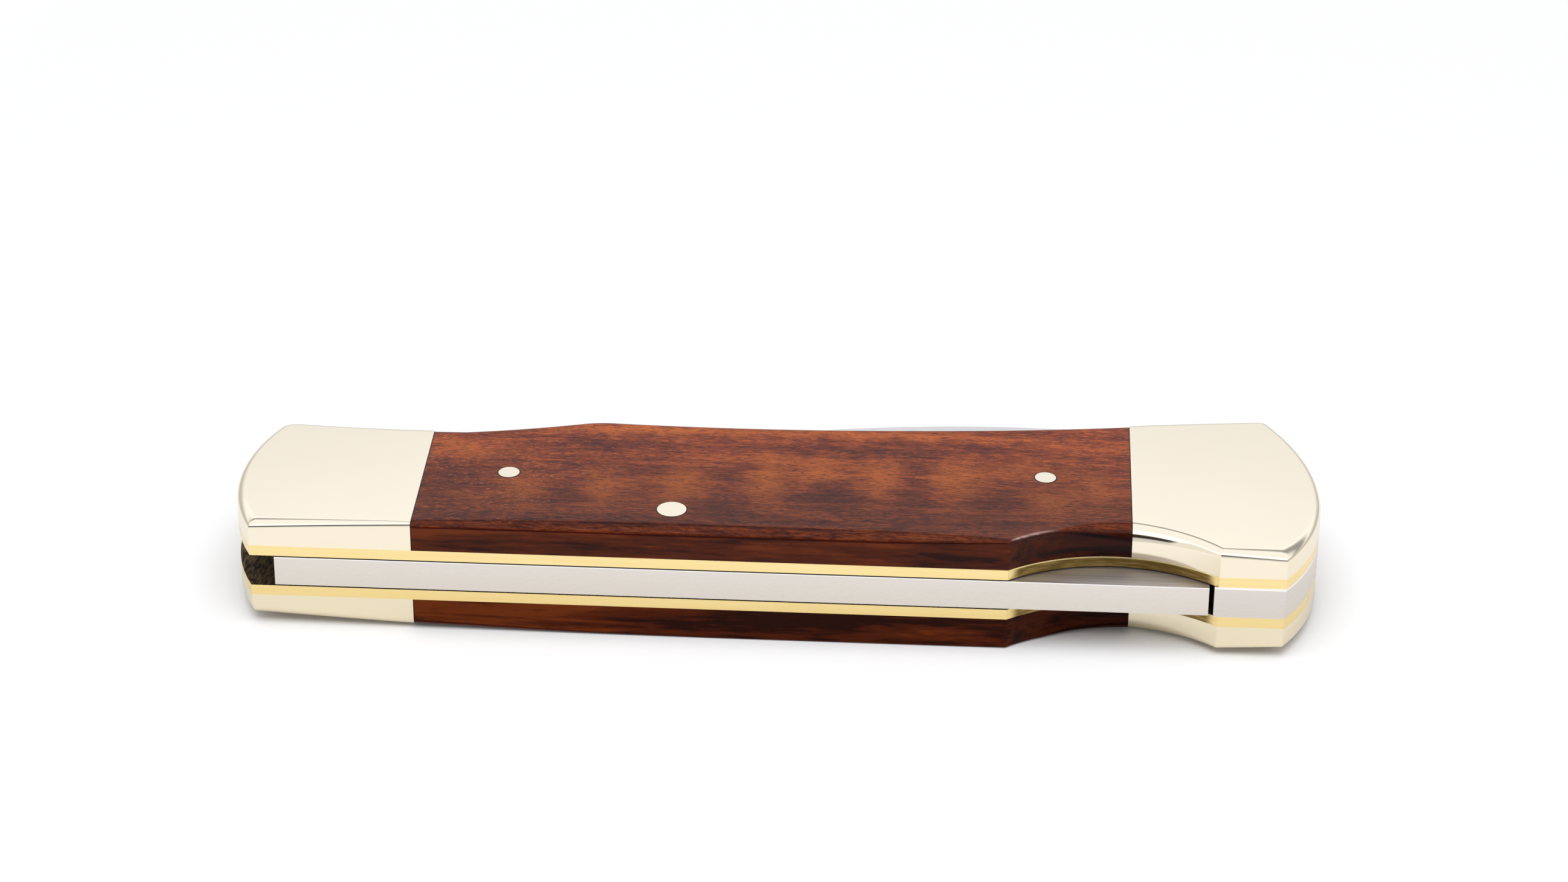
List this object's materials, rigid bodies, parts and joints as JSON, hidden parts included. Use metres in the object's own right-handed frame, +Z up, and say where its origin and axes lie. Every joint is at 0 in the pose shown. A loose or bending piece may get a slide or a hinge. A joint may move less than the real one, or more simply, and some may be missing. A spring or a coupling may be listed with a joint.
{
  "type": "folding pocket knife",
  "caption": "Lock-back folding pocket knife, closed: figured wood scales between nickel-silver bolsters, brass liners, clip-point blade and a rocking lock bar with a thumb notch.",
  "frame": {"origin": "under the middle of the closed knife, on the surface that it lies on", "axes": "+X from the front bolster to the butt, +Y from the spine to the belly where the blade comes out, +Z up through the thickness"},
  "size_m": [0.118, 0.0346, 0.0134],
  "materials": {
    "nickel_silver": "polished nickel silver",
    "liner_brass": "satin brass sheet",
    "scale_wood": "polished figured hardwood",
    "blade_steel": "satin ground",
    "lock_steel": "brushed lengthways",
    "spring_steel": "tempered grey"
  },
  "bodies": {
    "handle": {"blade_pivot_pin": "nickel_silver", "butt_belly_pin": "nickel_silver", "butt_spine_pin": "nickel_silver", "lock_bar_pin": "nickel_silver", "lock_spring": "spring_steel", "lower_bolster_aft_pin": "nickel_silver", "lower_bolster_fore_pin": "nickel_silver", "lower_front_bolster": "nickel_silver", "lower_front_scale_pin": "nickel_silver", "lower_liner": "liner_brass", "lower_rear_bolster": "nickel_silver", "lower_rear_scale_pin": "nickel_silver", "lower_scale": "scale_wood", "rear_spacer": "lock_steel", "upper_bolster_aft_pin": "nickel_silver", "upper_bolster_fore_pin": "nickel_silver", "upper_front_bolster": "nickel_silver", "upper_front_scale_pin": "nickel_silver", "upper_liner": "liner_brass", "upper_rear_bolster": "nickel_silver", "upper_rear_scale_pin": "nickel_silver", "upper_scale": "scale_wood"},
    "blade": {"blade": "blade_steel"},
    "lock_bar": {"lock_bar": "lock_steel"}
  },
  "joints": [
    {"name": "blade_open", "type": "hinge", "parent": "handle", "child": "blade", "pos_m": [-0.04804, -0.00623, 0.0067], "axis": [0, 0, 1], "range_deg": [0, 169]},
    {"name": "lock_bar_rock", "type": "hinge", "parent": "handle", "child": "lock_bar", "pos_m": [-0.01107, -0.01281, 0.0067], "axis": [0, 0, 1], "range_deg": [-1.6, 1.6], "stiffness_Nm_per_rad": 0.5, "deforming": ["lock_spring"]}
  ]
}
